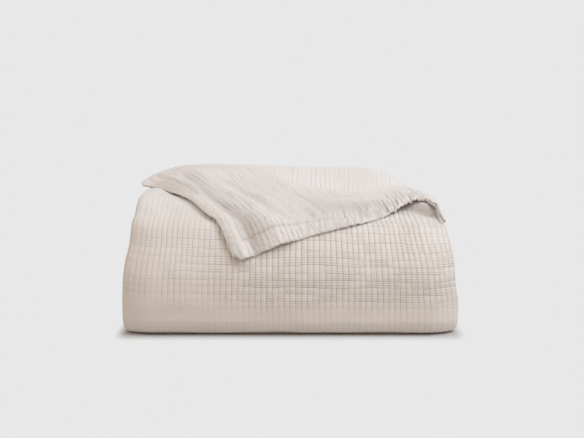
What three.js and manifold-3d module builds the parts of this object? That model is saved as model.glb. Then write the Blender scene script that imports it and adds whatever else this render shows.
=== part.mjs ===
// A coverlet folded into a bundle, with the top layer's corner turned down over its front.
// Millimetres. X runs along the bundle's width, Y from its front to its back, Z up, and the
// origin is under the middle of the bundle, on the surface it rests on.
//
// The cloth is first folded lengthwise into a strip of four layers. The strip is then folded
// back and forth, and its last length wraps the front and the top. Everything is laid out
// square and flat, and settle() then gives the whole bundle its soft, slumped form, so the
// layers keep their distance from each other.
import * as THREE from "three";
import Module from "manifold-3d";

// The bundle and its cloth
const bundleWidth = 468;
const bundleDepth = 350;
const clothThickness = 3;
const layerPitch = 5.5;
const layersInStrip = 4;
const hemWidth = 20;
const hemThickness = 4.4;
const turnedThickness = 2.6;

// The strip's section: its end folds and the steps across each layer
const outerFoldRadius = 1.5 * layerPitch;
const innerFoldRadius = 0.5 * layerPitch;
const foldCentre = bundleWidth / 2 - outerFoldRadius - clothThickness / 2;
const innerFoldShy = 4;
const innerFoldCentre = foldCentre - innerFoldShy;
const curlEnd = 205;
const endStarts = 188;
const endMiddle = 209;

// The strip's course: radii of its turns and of the wrap over the front
const stripThickness = layersInStrip * layerPitch;
const turnRadius = stripThickness / 2;
const outerFace = outerFoldRadius + clothThickness / 2;
const faceBottomRadius = 22;
const faceTopRadius = 30;
const wrapBottomRadius = faceBottomRadius - outerFace;
const wrapTopRadius = faceTopRadius - outerFace;
const wrapFront = -bundleDepth / 2 + outerFace;
const topLevel = 6;
const rollBack = 135;

// How finely the curves are divided, and the shares of the front's height with points
const curlSteps = 4;
const outerFoldSteps = 5;
const innerFoldSteps = 3;
const turnSteps = 4;
const bottomSteps = 3;
const topSteps = 4;
const lengthSteps = 2;
const flatTopSteps = 6;
const frontShares = [0.25, 0.42, 0.56, 0.7, 0.85];

// One row for each inner length of the strip, from its inner end to the bottom one
const lengths = [
  { level: 5, from: -112, to: 150, aside: 2 },
  { level: 4, from: 150, to: -112, aside: -2 },
  { level: 3, from: -112, to: 146, aside: 1 },
  { level: 2, from: 146, to: -121, aside: -3 },
  { level: 1, from: -121, to: 151, aside: 1 },
  { level: 0, from: 151, to: wrapFront + wrapBottomRadius, aside: 0 },
];

// How high the layers stand at each depth, as a share of their height when laid flat
const crown = [
  { depth: -175, share: 0.988 },
  { depth: -145, share: 1.0 },
  { depth: -90, share: 1.055 },
  { depth: -40, share: 1.083 },
  { depth: 60, share: 1.1 },
  { depth: 175, share: 1.075 },
];

// The front leans back above the belly, by more of its full lean the higher it is
const leanBack = 46;
const lean = [
  { height: 45, share: 0 },
  { height: 80, share: 0.11 },
  { height: 105, share: 0.39 },
  { height: 130, share: 0.8 },
  { height: 155, share: 1 },
];

// Both ends are rounded off, and the left one stands higher
const roundingStarts = 188;
const roundingReach = 50;
const leftEnd = { setback: 22, drop: -0.02 };
const rightEnd = { setback: 28, drop: 0.01 };
const leftRise = 0.033;

// How much higher the upper layers stand towards the back
const backRise = 7;
const riseFrom = 30;
const riseTo = 150;
const riseFront = -150;
const riseBack = -40;

// How far out the two ends stand at each height
const endBulge = [
  { height: 0, left: 0, right: 1 },
  { height: 40, left: 0, right: 1.5 },
  { height: 75, left: -0.5, right: -2.5 },
  { height: 100, left: -2.6, right: -3 },
  { height: 120, left: -6, right: -5.5 },
  { height: 135, left: -6.6, right: -8 },
  { height: 155, left: -6.5, right: -6.5 },
  { height: 170, left: -4.2, right: -6 },
  { height: 185, left: 0, right: -2 },
];
const bulgeFrom = 120;
const bulgeTo = 225;

// The turned-down corner. Each row is a line from the roll at the back down to the hem:
// where it leaves the roll and the roll's radius there, how high it stands above the layer
// under it on its way down, and where it reaches the hem. "down" is the distance over the
// bundle's surface from the front end of its flat top, and is negative on the top.
const turnedLines = [
  { rollX: -243, radius: 3.9, high: 6, upper: 4.2, middle: 3.8, lower: 3.8, hem: 5, hemX: -71, down: 65 },
  { rollX: -212, radius: 13.6, high: 20, upper: 14, middle: 4.4, lower: 4.2, hem: 4.8, hemX: -46, down: 57 },
  { rollX: -170, radius: 19, high: 31.5, upper: 19.4, middle: 6.6, lower: 4.2, hem: 3.6, hemX: -14, down: 46 },
  { rollX: -120, radius: 20.3, high: 33.9, upper: 20.1, middle: 7.4, lower: 3.8, hem: 3.6, hemX: 26, down: 34 },
  { rollX: -60, radius: 20.5, high: 27.3, upper: 14.5, middle: 5, lower: 3.8, hem: 3.6, hemX: 66, down: 23 },
  { rollX: 0, radius: 20.3, high: 14.7, upper: 7.9, middle: 4.4, lower: 3.8, hem: 3.8, hemX: 100, down: 11 },
  { rollX: 60, radius: 20.5, high: 8.1, upper: 4.6, middle: 4.2, lower: 4, hem: 3.8, hemX: 133, down: -20 },
  { rollX: 110, radius: 20.7, high: 10.5, upper: 6.6, middle: 5.5, lower: 5, hem: 5.5, hemX: 160, down: -46 },
  { rollX: 150, radius: 19, high: 14.7, upper: 12.8, middle: 12, lower: 11.5, hem: 12, hemX: 187, down: -70 },
  { rollX: 180, radius: 11.8, high: 14.6, upper: 13.5, middle: 13.5, lower: 14, hem: 15, hemX: 205, down: -81 },
  { rollX: 198, radius: 7, high: 10.5, upper: 10.5, middle: 11.5, lower: 13, hem: 13.5, hemX: 217, down: -68 },
  { rollX: 210, radius: 4.5, high: 7.5, upper: 8, middle: 8.5, lower: 9.5, hem: 10, hemX: 225, down: -42 },
  { rollX: 216, radius: 3.8, high: 6.5, upper: 6.5, middle: 6.5, lower: 6, hem: 5, hemX: 229, down: 6 },
];
const lineSteps = { high: 0.17, upper: 0.36, middle: 0.58, lower: 0.8, hem: 1 };
const turnedColumns = 20;
const rollSteps = 5;
const slopeSteps = 13;
const rootLength = 12;

// Height of the middle of a length of the strip at a level, laid flat
function levelHeight(level) {
  return outerFace + level * stripThickness;
}

// Smooth value from a named column of a table with rising keys, with no overshoot between rows
function tableValue(rows, keyName, valueName, key) {
  return smoothValue(rows.map((row) => row[keyName]), rows.map((row) => row[valueName]), key);
}

// Smooth value between keys, with no overshoot between them
function smoothValue(keys, values, key) {
  const last = keys.length - 1;
  const at = Math.min(Math.max(key, keys[0]), keys[last]);
  let row = 0;
  while (row < last - 1 && at > keys[row + 1]) {
    row += 1;
  }
  const rise = (i) => (values[i + 1] - values[i]) / (keys[i + 1] - keys[i]);
  const slope = (i) => {
    if (i === 0) {
      return rise(0);
    }
    if (i === last) {
      return rise(last - 1);
    }
    const product = rise(i - 1) * rise(i);
    return product <= 0 ? 0 : (2 * product) / (rise(i - 1) + rise(i));
  };
  const span = keys[row + 1] - keys[row];
  const t = (at - keys[row]) / span;
  const fromStart = (1 + 2 * t) * (1 - t) ** 2 * values[row] + t * (1 - t) ** 2 * span * slope(row);
  const fromEnd = t ** 2 * (3 - 2 * t) * values[row + 1] - t ** 2 * (1 - t) * span * slope(row + 1);
  return fromStart + fromEnd;
}

// The slumped form of the bundle: a low front, a crown to the back, rounded ends
function settle({ x, y, z }) {
  const end = x < 0 ? leftEnd : rightEnd;
  const rounding = (Math.max(0, Math.abs(x) - roundingStarts) / roundingReach) ** 2;
  const tilt = 1 - (leftRise * x) / (bundleWidth / 2);
  const share = tilt * tableValue(crown, "depth", "share", y);
  const upper = THREE.MathUtils.smoothstep(z, riseFrom, riseTo);
  const rise = backRise * upper * THREE.MathUtils.smoothstep(y, riseFront, riseBack);
  const height = z * share * (1 - end.drop * rounding) + rise;
  const bulge = tableValue(endBulge, "height", x < 0 ? "left" : "right", height);
  const outwards = bulge * THREE.MathUtils.smoothstep(Math.abs(x), bulgeFrom, bulgeTo);
  const nearness = THREE.MathUtils.clamp(0.5 - y / bundleDepth, 0, 1);
  const backwards = leanBack * nearness * tableValue(lean, "height", "share", height);
  const depth = y * (1 - (end.setback / (bundleDepth / 2)) * rounding) + backwards;
  return new THREE.Vector3(x + Math.sign(x) * outwards, depth, height);
}

// Points along an arc, in even steps between two angles
function arc(centreA, centreB, radius, fromDegrees, toDegrees, steps) {
  return Array.from({ length: steps + 1 }, (_, step) => {
    const angle = THREE.MathUtils.degToRad(fromDegrees + ((toDegrees - fromDegrees) * step) / steps);
    return new THREE.Vector2(centreA + radius * Math.cos(angle), centreB + radius * Math.sin(angle));
  });
}

// Closed outline of a cloth whose middle follows the given points
function clothOutline(middle) {
  const left = [];
  const right = [];
  middle.forEach((point, i) => {
    const before = middle[Math.max(i - 1, 0)];
    const after = middle[Math.min(i + 1, middle.length - 1)];
    const along = after.clone().sub(before).normalize();
    const side = new THREE.Vector2(-along.y, along.x).multiplyScalar(clothThickness / 2);
    left.push(point.clone().add(side));
    right.push(point.clone().sub(side));
  });
  const outline = left.concat(right.reverse());
  return THREE.ShapeUtils.isClockWise(outline) ? outline.reverse() : outline;
}

// Section of the strip: across the width (x) and outwards (y), from the outer layer's free
// edge, curled in at the left end, to the free edge of the layer just inside it
function stripSection() {
  const stepsRight = [-endMiddle, -endStarts, endStarts, endMiddle];
  const layer = (outward, steps) => steps.map((across) => new THREE.Vector2(across, outward));
  const stepsLeft = [...stepsRight].reverse();
  const middle = [
    ...arc(-foldCentre, 0, outerFoldRadius, curlEnd, 90, curlSteps),
    ...layer(outerFoldRadius, stepsRight),
    ...arc(foldCentre, 0, outerFoldRadius, 90, -90, outerFoldSteps),
    ...layer(-outerFoldRadius, stepsLeft),
    ...arc(-innerFoldCentre, -layerPitch, innerFoldRadius, -90, -270, innerFoldSteps),
    ...layer(-innerFoldRadius, stepsRight),
    ...arc(foldCentre, 0, innerFoldRadius, -90, 90, innerFoldSteps),
    ...layer(innerFoldRadius, stepsLeft),
    new THREE.Vector2(-innerFoldCentre, innerFoldRadius),
  ];
  return clothOutline(middle);
}

// Course of the strip's middle, as depth (x) and height (y), with its shift to one side
function stripCourse() {
  const course = [];
  const add = (points, aside) => points.forEach((point) => course.push({ point, aside }));
  const straight = (from, to, height, steps) =>
    Array.from({ length: steps + 1 }, (_, i) => new THREE.Vector2(from + ((to - from) * i) / steps, height));
  lengths.forEach((row, i) => {
    const height = levelHeight(row.level);
    add(straight(row.from, row.to, height, lengthSteps), row.aside);
    if (i < lengths.length - 1) {
      const between = height - turnRadius;
      const farSide = row.to > 0 ? -90 : 270;
      add(arc(row.to, between, turnRadius, 90, farSide, turnSteps).slice(1, -1), row.aside);
    }
  });
  const wrapBottom = arc(
    wrapFront + wrapBottomRadius, levelHeight(0) + wrapBottomRadius, wrapBottomRadius, -90, -180, bottomSteps,
  );
  const wrapTop = arc(
    wrapFront + wrapTopRadius, levelHeight(topLevel) - wrapTopRadius, wrapTopRadius, 180, 90, topSteps,
  );
  const low = wrapBottom[wrapBottom.length - 1].y;
  const high = wrapTop[0].y;
  const rise = frontShares.map((t) => new THREE.Vector2(wrapFront, low + t * (high - low)));
  const top = straight(wrapFront + wrapTopRadius, rollBack, levelHeight(topLevel), flatTopSteps);
  add([...wrapBottom.slice(1), ...rise, ...wrapTop, ...top.slice(1)], 0);
  return course;
}

// Rings of points joined into one closed body, with both ends filled in
function closedLoft(rings, capFaces) {
  const positions = rings.flat().flatMap((point) => point.toArray());
  const count = rings[0].length;
  const faces = [];
  for (let ring = 0; ring < rings.length - 1; ring += 1) {
    for (let i = 0; i < count; i += 1) {
      const a = ring * count + i;
      const b = ring * count + ((i + 1) % count);
      faces.push([a, b, b + count], [a, b + count, a + count]);
    }
  }
  const lastRing = (rings.length - 1) * count;
  capFaces.forEach(([a, b, c]) => {
    faces.push([a, c, b], [a + lastRing, b + lastRing, c + lastRing]);
  });
  return { positions, faces };
}

// Signed volume of a closed body, positive where its faces point out
function signedVolume({ positions, faces }) {
  const at = (i) => new THREE.Vector3(...positions.slice(3 * i, 3 * i + 3));
  return faces.reduce((sum, [a, b, c]) => sum + at(a).dot(at(b).cross(at(c))) / 6, 0);
}

// A closed body handed to the solid library, its faces turned outwards first
function asSolid(wasm, body) {
  const outward = signedVolume(body) > 0;
  const faces = body.faces.map(([a, b, c]) => (outward ? [a, b, c] : [a, c, b]));
  return new wasm.Manifold(
    new wasm.Mesh({
      numProp: 3,
      vertProperties: new Float32Array(body.positions),
      triVerts: new Uint32Array(faces.flat()),
    }),
  );
}

// The folded strip: its section carried along its course and then settled
function foldedStrip() {
  const section = stripSection();
  const course = stripCourse();
  const rings = course.map(({ point, aside }, i) => {
    const before = course[Math.max(i - 1, 0)].point;
    const after = course[Math.min(i + 1, course.length - 1)].point;
    const along = after.clone().sub(before).normalize();
    return section.map(({ x: across, y: outward }) =>
      settle({
        x: across + aside,
        y: point.x - along.y * outward,
        z: point.y + along.x * outward,
      }),
    );
  });
  return closedLoft(rings, THREE.ShapeUtils.triangulateShape(section, []));
}

// Values of the turned-down corner's table at a place along its roll, from 0 to 1
function turnedLine(share) {
  const first = turnedLines[0];
  const last = turnedLines[turnedLines.length - 1];
  const rollX = first.rollX + share * (last.rollX - first.rollX);
  const keys = turnedLines.map((row) => row.rollX);
  const values = {};
  Object.keys(first).forEach((name) => {
    values[name] = smoothValue(keys, turnedLines.map((row) => row[name]), rollX);
  });
  return values;
}

// A point on the flat-laid bundle's outer surface and the direction that surface faces there,
// by its distance down from the front end of the flat top
function surfaceAt(x, down) {
  const radius = wrapTopRadius + outerFace;
  const topHeight = levelHeight(topLevel) + outerFace;
  const arcLength = (radius * Math.PI) / 2;
  const frontOfTop = wrapFront + wrapTopRadius;
  if (down <= 0) {
    return { point: new THREE.Vector3(x, frontOfTop - down, topHeight), facing: new THREE.Vector3(0, 0, 1) };
  }
  const angle = Math.min(down, arcLength) / radius;
  const facing = new THREE.Vector3(0, -Math.sin(angle), Math.cos(angle));
  const centre = new THREE.Vector3(x, frontOfTop, topHeight - radius);
  const point = centre.addScaledVector(facing, radius);
  point.z -= Math.max(0, down - arcLength);
  return { point, facing };
}

// The middle of the turned-down corner's cloth, line by line: out of the top layer, round the
// roll and down to the hem
function turnedLinePoints(share) {
  const line = turnedLine(share);
  const layerHeight = levelHeight(topLevel) + outerFoldRadius;
  const rootX = THREE.MathUtils.clamp(line.rollX, -foldCentre, foldCentre);
  const points = [new THREE.Vector3(rootX, rollBack - rootLength, layerHeight)];
  for (let step = 0; step <= rollSteps; step += 1) {
    const turn = step / rollSteps;
    const angle = Math.PI * (turn - 0.5);
    points.push(new THREE.Vector3(
      THREE.MathUtils.lerp(rootX, line.rollX, turn),
      rollBack + line.radius * Math.cos(angle),
      layerHeight + line.radius * (1 + Math.sin(angle)),
    ));
  }
  const rollDown = wrapFront + wrapTopRadius - rollBack;
  const rollLift = 2 * line.radius - clothThickness / 2;
  const stops = [0, ...Object.values(lineSteps)];
  const lifts = [rollLift, ...Object.keys(lineSteps).map((name) => line[name])];
  for (let step = 1; step <= slopeSteps; step += 1) {
    const reach = hemWidth / (line.down - rollDown);
    const even = step / (slopeSteps - 1);
    const t = step < slopeSteps ? even * (1 - reach) : 1;
    const { point, facing } = surfaceAt(
      THREE.MathUtils.lerp(line.rollX, line.hemX, t),
      THREE.MathUtils.lerp(rollDown, line.down, t),
    );
    points.push(point.addScaledVector(facing, smoothValue(stops, lifts, t)));
  }
  return points;
}

// The turned-down corner: its cloth given a thickness, more along the two hems
function turnedCorner() {
  const hemShare = hemWidth / (turnedLines[turnedLines.length - 1].rollX - turnedLines[0].rollX);
  const shares = [0, hemShare];
  for (let column = 1; column <= turnedColumns; column += 1) {
    shares.push(hemShare + (1 - hemShare) * (column / turnedColumns));
  }
  const lines = shares.map(turnedLinePoints);
  const rowCount = lines[0].length;
  const rings = [];
  for (let row = 0; row < rowCount; row += 1) {
    const over = [];
    const under = [];
    lines.forEach((line, column) => {
      const previous = lines[Math.max(column - 1, 0)][row];
      const next = lines[Math.min(column + 1, lines.length - 1)][row];
      const across = next.clone().sub(previous);
      const along = line[Math.min(row + 1, rowCount - 1)].clone().sub(line[Math.max(row - 1, 0)]);
      const facing = across.cross(along).normalize();
      const hemmed = row > 1 && (column === 0 || row === rowCount - 1);
      const half = (hemmed ? hemThickness : turnedThickness) / 2;
      over.push(settle(line[row].clone().addScaledVector(facing, -half)));
      under.push(settle(line[row].clone().addScaledVector(facing, half)));
    });
    rings.push(over.concat(under.reverse()));
  }
  const count = rings[0].length;
  const caps = [];
  for (let i = 0; i < count / 2 - 1; i += 1) {
    const opposite = count - 1 - i;
    caps.push([i, i + 1, opposite - 1], [i, opposite - 1, opposite]);
  }
  return closedLoft(rings, caps);
}

// The whole cloth as one solid
async function coverletGeometry() {
  const wasm = await Module();
  wasm.setup();
  const strip = asSolid(wasm, foldedStrip());
  const corner = asSolid(wasm, turnedCorner());
  const mesh = strip.add(corner).getMesh();
  const geometry = new THREE.BufferGeometry();
  geometry.setAttribute("position", new THREE.BufferAttribute(new Float32Array(mesh.vertProperties), 3));
  geometry.setIndex(new THREE.BufferAttribute(new Uint32Array(mesh.triVerts), 1));
  return geometry;
}

const cloth = new THREE.MeshStandardMaterial({ color: 0xe2d9d0, roughness: 0.95, metalness: 0 });
const coverlet = new THREE.Mesh(await coverletGeometry(), cloth);
coverlet.name = "coverlet";

const group = new THREE.Group();
group.add(coverlet);
export default group;
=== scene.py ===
# A crinkled cotton coverlet, folded into a soft bundle, with the top layer's corner turned
# down over its front. The shapes are worked out in millimetres in the part's frame, from the
# part's own sizes and tables, and every mesh is in metres.
import math

import bmesh
import bpy
import numpy as np
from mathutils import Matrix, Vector


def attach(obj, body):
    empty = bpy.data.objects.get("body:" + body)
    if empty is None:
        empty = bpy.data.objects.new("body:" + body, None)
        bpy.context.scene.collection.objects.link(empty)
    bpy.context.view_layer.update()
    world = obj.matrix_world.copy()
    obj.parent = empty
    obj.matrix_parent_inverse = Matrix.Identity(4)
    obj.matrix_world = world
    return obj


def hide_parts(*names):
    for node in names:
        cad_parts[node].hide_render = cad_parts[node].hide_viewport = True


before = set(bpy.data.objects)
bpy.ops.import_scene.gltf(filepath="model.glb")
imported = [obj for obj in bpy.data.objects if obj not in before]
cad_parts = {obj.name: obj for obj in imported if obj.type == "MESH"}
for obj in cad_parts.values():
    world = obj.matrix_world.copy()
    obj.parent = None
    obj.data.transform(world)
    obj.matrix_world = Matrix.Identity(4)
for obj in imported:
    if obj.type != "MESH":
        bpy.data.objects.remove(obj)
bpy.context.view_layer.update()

MM = 0.001

# The bundle and its cloth
BUNDLE_WIDTH = 468
BUNDLE_DEPTH = 350
CLOTH_THICKNESS = 3
LAYER_PITCH = 5.5
LAYERS_IN_STRIP = 4
HEM_WIDTH = 20
HEM_THICKNESS = 4
TURNED_THICKNESS = 2.6

# The strip's section: its end folds and the run of the cloth round them
OUTER_FOLD_RADIUS = 1.5 * LAYER_PITCH
INNER_FOLD_RADIUS = 0.5 * LAYER_PITCH
FOLD_CENTRE = BUNDLE_WIDTH / 2 - OUTER_FOLD_RADIUS - CLOTH_THICKNESS / 2
INNER_FOLD_SHY = 4
INNER_FOLD_CENTRE = FOLD_CENTRE - INNER_FOLD_SHY
CURL_END = 205
CURL_RUN = OUTER_FOLD_RADIUS * math.radians(CURL_END - 90)
OUTER_LAYER_RUN = CURL_RUN + 2 * FOLD_CENTRE
OUTER_FOLD_RUN = math.pi * OUTER_FOLD_RADIUS
OUTER_RUN = OUTER_LAYER_RUN + OUTER_FOLD_RUN
INNER_FOLD_RUN = math.pi * INNER_FOLD_RADIUS

# The strip's course: its turns, the wrap over the front and the roll at the back
STRIP_THICKNESS = LAYERS_IN_STRIP * LAYER_PITCH
TURN_RADIUS = STRIP_THICKNESS / 2
OUTER_FACE = OUTER_FOLD_RADIUS + CLOTH_THICKNESS / 2
FACE_BOTTOM_RADIUS = 22
FACE_TOP_RADIUS = 30
WRAP_BOTTOM_RADIUS = FACE_BOTTOM_RADIUS - OUTER_FACE
WRAP_TOP_RADIUS = FACE_TOP_RADIUS - OUTER_FACE
WRAP_FRONT = -BUNDLE_DEPTH / 2 + OUTER_FACE
TOP_LEVEL = 6
ROLL_BACK = 135
ROLL_DOWN = WRAP_FRONT + WRAP_TOP_RADIUS - ROLL_BACK

# The slumped form of the bundle
LEAN_BACK = 46
ROUNDING_STARTS = 188
ROUNDING_REACH = 50
LEFT_SETBACK = 22
RIGHT_SETBACK = 28
LEFT_DROP = -0.02
RIGHT_DROP = 0.01
LEFT_RISE = 0.033

# Soft swells of the front: how far they stand out, and the heights over which they grow
BROAD_SWELL = 1.6
SMALL_SWELL = 0.8
SWELLS_FROM = 12
SWELLS_TO = 50

# The crinkle of the weave: ribs run along the strip, rows run across it
RIB_PITCH = 8.0
ROW_PITCH = 9.5
BACK_RIB_PITCH = 7.6
GROOVE_HALF_WIDTH = 0.65
RIB_GROOVE_DEPTH = 1.35
ROW_GROOVE_DEPTH = 0.27
RIB_SHOULDER = 2.9
RIB_PUFF = 0.25
MODELLED_ROWS = 26

# The reverse side's crinkle: heights of its ridges, its fine lines and its broad swells
BACK_RIDGE_HEIGHT = 1.1
BACK_FINE_HEIGHT = 0.45
BACK_BROAD_HEIGHT = 1.2

# How much weaker the ribs and rows are at the left end, and both in the right-hand hollow
LEFT_RIB_FADE = 0.66
LEFT_ROW_FADE = 0.5
HOLLOW_FADE = 0.75

# How strongly the ribs and rows show on the inner lengths
INNER_RIB_SHOW = 0.42
INNER_ROW_SHOW = 0.26

# The share of a fold that reaches the inmost layer
INNER_PRESS = 0.35


def table(names, *rows):
    """A short table, as one array for each of its named columns."""
    return dict(zip(names.split(), np.array(rows, float).T))


LENGTHS = table(
    "level start end aside",
    (5, -112, 150, 2),
    (4, 150, -112, -2),
    (3, -112, 146, 1),
    (2, 146, -121, -3),
    (1, -121, 151, 1),
    (0, 151, WRAP_FRONT + WRAP_BOTTOM_RADIUS, 0),
)

# How high the layers stand at each depth, as a share of their height when laid flat
CROWN = table(
    "depth share",
    (-175, 0.988),
    (-145, 1.0),
    (-90, 1.055),
    (-40, 1.083),
    (60, 1.1),
    (175, 1.075),
)

# How much of the lean the front has at each height
LEAN = table(
    "height share",
    (45, 0),
    (80, 0.11),
    (105, 0.39),
    (130, 0.8),
    (155, 1),
)

# How much higher the upper layers stand towards the back
BACK_RISE = 7
RISE_FROM = 30
RISE_TO = 150
RISE_FRONT = -150
RISE_BACK = -40

# How far out the two ends stand at each height
END_BULGE = table(
    "height left right",
    (0, 0, 1),
    (40, 0, 1.5),
    (75, -0.5, -2.5),
    (100, -2.6, -3),
    (120, -6, -5.5),
    (135, -6.6, -8),
    (155, -6.5, -6.5),
    (170, -4.2, -6),
    (185, 0, -2),
)
BULGE_FROM = 120
BULGE_TO = 225

# Lines of the turned-down corner, from the roll at the back down to the hem
TURNED = table(
    "roll_x radius high upper middle lower hem hem_x down",
    (-243, 3.9, 6, 4.2, 3.8, 3.8, 5, -71, 65),
    (-212, 13.6, 20, 14, 4.4, 4.2, 4.8, -46, 57),
    (-170, 19, 31.5, 19.4, 6.6, 4.2, 3.6, -14, 46.5),
    (-120, 20.3, 33.9, 20.1, 7.4, 3.8, 3.4, 26, 34),
    (-60, 20.5, 27.3, 14.5, 5, 3.8, 3.4, 66, 23),
    (0, 20.3, 14.7, 7.9, 4.4, 3.8, 3.4, 100, 11),
    (60, 20.5, 8.1, 4.6, 4.2, 4, 3.6, 133, -20),
    (110, 20.7, 10.5, 6.6, 5.5, 5, 5.5, 160, -46),
    (150, 18.9, 14.7, 12.8, 11.9, 11.5, 12, 187, -70),
    (180, 11.8, 14.6, 13.5, 13.5, 14, 15, 205, -81),
    (198, 7, 10.5, 10.5, 11.5, 13, 13.5, 217, -68),
    (210, 4.5, 7.5, 8, 8.5, 9.5, 10, 225, -42),
    (216, 3.8, 6.5, 6.5, 6.5, 6, 5, 229, 6),
)
LINE_STEPS = {"high": 0.17, "upper": 0.36, "middle": 0.58, "lower": 0.8, "hem": 1.0}

# Which way the turned-down corner's ribs run: how far each one moves to the right for each
# millimetre it comes forward, before and after the long crease that bends it
RIB_LEAN = table(
    "roll_x before after crease",
    (-243, 0.482, 0.482, 0),
    (-150, 0.482, 0.482, 0),
    (-100, 0.33, 0.46, 8),
    (-50, 0.10, 0.40, 30),
    (0, -0.04, 0.33, 50),
    (40, -0.05, 0.25, 58),
    (87, -0.05, 0.17, 60),
    (150, -0.02, 0.09, 55),
    (216, 0.048, 0.048, 40),
)
CREASE_BEND = 16

# How strongly the crinkle shows along the wrapped length, from under the front to the top
RELIEF = table(
    "along ribs rows",
    (0, 0.15, 0.1),
    (26, 0.18, 0.2),
    (42, 0.42, 0.5),
    (58, 1.0, 0.95),
    (120, 1.0, 1.0),
    (155, 0.85, 0.6),
    (190, 0.74, 0.3),
    (440, 0.5, 0.25),
)


# The corner's steps: across a hem to just past its seam, along the roll, down and round it
HEM_STEPS = np.array([0, 0.7, 1.9, 4.5, 8, 12, 16, 18.6, HEM_WIDTH, 21.4])
CORNER_STEP = 2.05
CORNER_ROWS = 111
ROLL_ROWS = 13
CORNER_LEFT = TURNED["roll_x"][0]
CORNER_RIGHT = TURNED["roll_x"][-1]

# How much longer a step across the side hem is when it is taken along the roll
SIDE_SLANT = 1 / math.cos(math.atan(RIB_LEAN["before"][0]))

# Where the side hem swings out of its line: the run from the roll to the middle of a swing,
# half its length, how far out it goes and the rib where it dies away
SIDE_SWINGS = table(
    "run half out inmost",
    (250, 60, 3.4, -150),
    (30, 20, 8, -200),
)

# The corner's point: how much is rounded off it, and the fuller cloth of the hem beside it
POINT_ROUNDING = 5
POINT_FULLNESS = 2
POINT_REACH = 11
POINT_SPREAD = 6

# The hem's seam, its gathers, and how full the cloth is at each distance from its edge
SEAM_DEPTH = 1.5
SEAM_HALF_WIDTH = 1.5
GATHER_PITCH = 3.6
EDGE_ROUNDING = table(
    "edge fullness",
    (0, 0.45),
    (0.7, 0.8),
    (1.9, 0.97),
    (4.5, 1),
)

# The least gap under the corner
LEAST_CLEARANCE = 0.5


# Soft troughs and ridges, listed one by one. Each row is a point of a fold's line on the cloth,
# with the fold's half width there and how far it stands out, or in where that is negative.
# On the wrapped length, "across" is the place across the bundle and "along" the distance from
# under the front. On the corner, "across" is a rib's place on the roll, "along" the run to it.
#
# The wrapped length: 1 the hollow under the right shoulder, 2 the swell behind it that the
# corner hides, 3 the ridge below the hollow, 4 the trough beside the corner's side hem, 5 the
# full left end.
WRAP_FOLDS = table(
    "fold across along half height",
    (1, 150, 222, 12, -2),
    (1, 168, 226, 14, -3),
    (1, 188, 218, 14, -4),
    (1, 206, 208, 14, -5),
    (1, 219, 194, 14, -4),
    (1, 228, 180, 12, -3),
    (2, 164, 244, 14, 1.5),
    (2, 180, 245, 19, 6),
    (2, 195, 238, 18, 9.3),
    (2, 205, 231, 14, 8.5),
    (2, 213, 225, 11, 4),
    (2, 219, 220, 9, 0),
    (3, 150, 190, 12, 0.5),
    (3, 180, 158, 12, 2),
    (3, 204, 120, 14, 1),
    (4, -170, 262, 9, -1.5),
    (4, -140, 198, 10, -3.5),
    (4, -114, 152, 8, -2.5),
    (4, -92, 116, 7, -2.5),
    (5, -218, 200, 14, 1),
    (5, -214, 270, 18, 4),
    (5, -210, 390, 18, 5),
)

# The corner: 1 the long crease across the ribs and 2 the ridge below it, 3 the valley beside
# the side hem, 4 and 5 the hem's two ridges, 10 its fullness near the roll, 11 its edge, 13 the
# rise of the whole hem and 14 its seam. The others run along the ribs.
CORNER_FOLDS = table(
    "fold across along half height",
    (1, -84, 18, 3.5, -1.5),
    (1, -80, 60, 3.5, -3.5),
    (1, -45, 66, 4, -4.5),
    (1, -10, 86, 4, -4),
    (1, 33, 82, 5, -3),
    (1, 82, 75, 8, -2),
    (1, 152, 79, 9, -1.5),
    (1, 191, 93, 9, -1),
    (2, -74, 82, 9, 2.2),
    (2, -10, 104, 10, 2.2),
    (2, 60, 98, 12, 1),
    (3, -203, 60, 7, -2),
    (3, -205, 123, 7, -3),
    (3, -213, 217, 6.5, -3.2),
    (3, -214, 278, 6, -4),
    (3, -211, 326, 6, -4.5),
    (3, -210, 350, 6, -3.5),
    (4, -226, 80, 6, 1),
    (4, -226, 200, 5, 2.2),
    (4, -226, 350, 4.5, 3),
    (5, -237, 130, 3.5, 0.3),
    (5, -237, 230, 3.5, 1.2),
    (5, -237, 350, 3.5, 2),
    (6, -180, 60, 12, 2),
    (6, -176, 200, 12, 1.8),
    (6, -172, 300, 12, 1),
    (7, -140, 70, 10, -2),
    (7, -138, 160, 11, -1.5),
    (7, -134, 220, 10, -0.3),
    (8, -30, 120, 12, -1.6),
    (8, -34, 240, 12, -1.4),
    (9, 40, 110, 9, 1.2),
    (9, 40, 270, 9, 1.2),
    (10, -225, 60, 18, 2.2),
    (10, -225, 140, 18, 2.2),
    (11, -245, 20, 6, -3.5),
    (11, -245, 120, 5, -3),
    (11, -245, 300, 4, -3),
    (12, -174, 170, 16, 1),
    (12, -170, 230, 18, 4),
    (12, -168, 280, 19, 6),
    (12, -170, 345, 16, 4.5),
    (13, -214, 215, 40, 0.5),
    (13, -214, 270, 40, 1.8),
    (13, -214, 345, 40, 2),
    (14, -221, 140, 2.2, -0.4),
    (14, -221, 220, 2.4, -2.2),
    (14, -221, 350, 2.4, -2.4),
)

# Painted shade: where the cloth's colour is darkened in place of the shade in hollows, with the
# strength of the painted shade as height.
# The wrapped length: 1 the hollow under the right shoulder.
WRAP_SHADES = table(
    "fold across along half height",
    (1, 168, 240, 8, 0),
    (1, 184, 233, 11, 1),
    (1, 200, 219, 14, 1.8),
    (1, 214, 206, 14, 1.8),
    (1, 226, 195, 12, 1.3),
    (1, 238, 182, 12, 1),
)
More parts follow.
